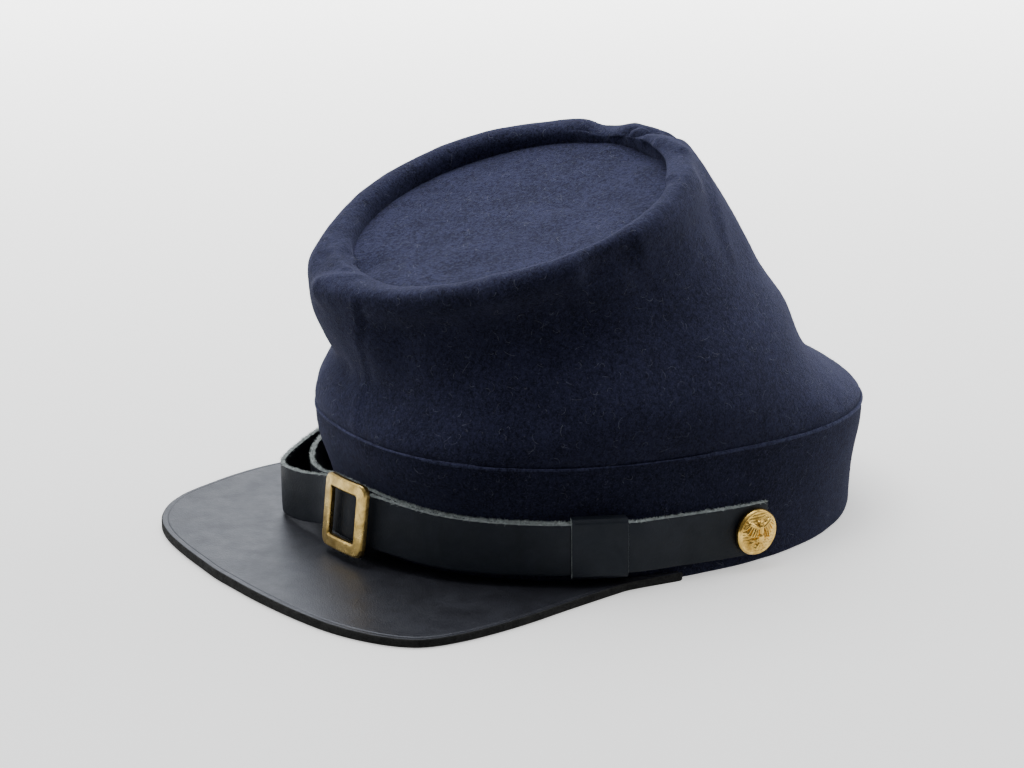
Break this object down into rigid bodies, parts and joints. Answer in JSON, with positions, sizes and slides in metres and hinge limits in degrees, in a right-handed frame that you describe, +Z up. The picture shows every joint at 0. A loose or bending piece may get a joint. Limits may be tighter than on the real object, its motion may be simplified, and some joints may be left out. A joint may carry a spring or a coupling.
{
  "type": "kepi cap",
  "caption": "Wool kepi with a soft tilted crown, a sunken round top, a flat leather visor and a buckled leather chin strap with gilt side buttons.",
  "frame": {"origin": "centre of the bounding box at its bottom, on the surface that the cap rests on", "axes": "+Z up, -Y towards the visor, +X towards the wearer's left"},
  "size_m": [0.1966, 0.2632, 0.1439],
  "materials": {
    "navy_wool": "matte felted navy wool with a short nap and light lint",
    "navy_wool_top": "matte felted navy wool, a little lighter where it faces up",
    "navy_wool_band": "matte felted navy wool, pressed smooth round the head",
    "visor_leather": "smooth black leather with a satin gloss and a dark cut edge",
    "strap_leather": "dark charcoal leather with pale fuzzy cut edges",
    "inner_strap_leather": "dark charcoal leather, dull, with pale fuzzy cut edges",
    "keeper_leather": "dark charcoal leather with a pale cut edge",
    "brushed_brass": "brushed brass with soft edges",
    "gilt": "polished gilt with low relief"
  },
  "bodies": {
    "root": {"crown_side": "navy_wool", "crown_top": "navy_wool_top", "band": "navy_wool_band", "visor": "visor_leather", "strap_long": "strap_leather", "strap_short": "inner_strap_leather", "keeper": "keeper_leather", "buckle": "brushed_brass", "button_left": "gilt", "button_right": "gilt"}
  },
  "joints": []
}
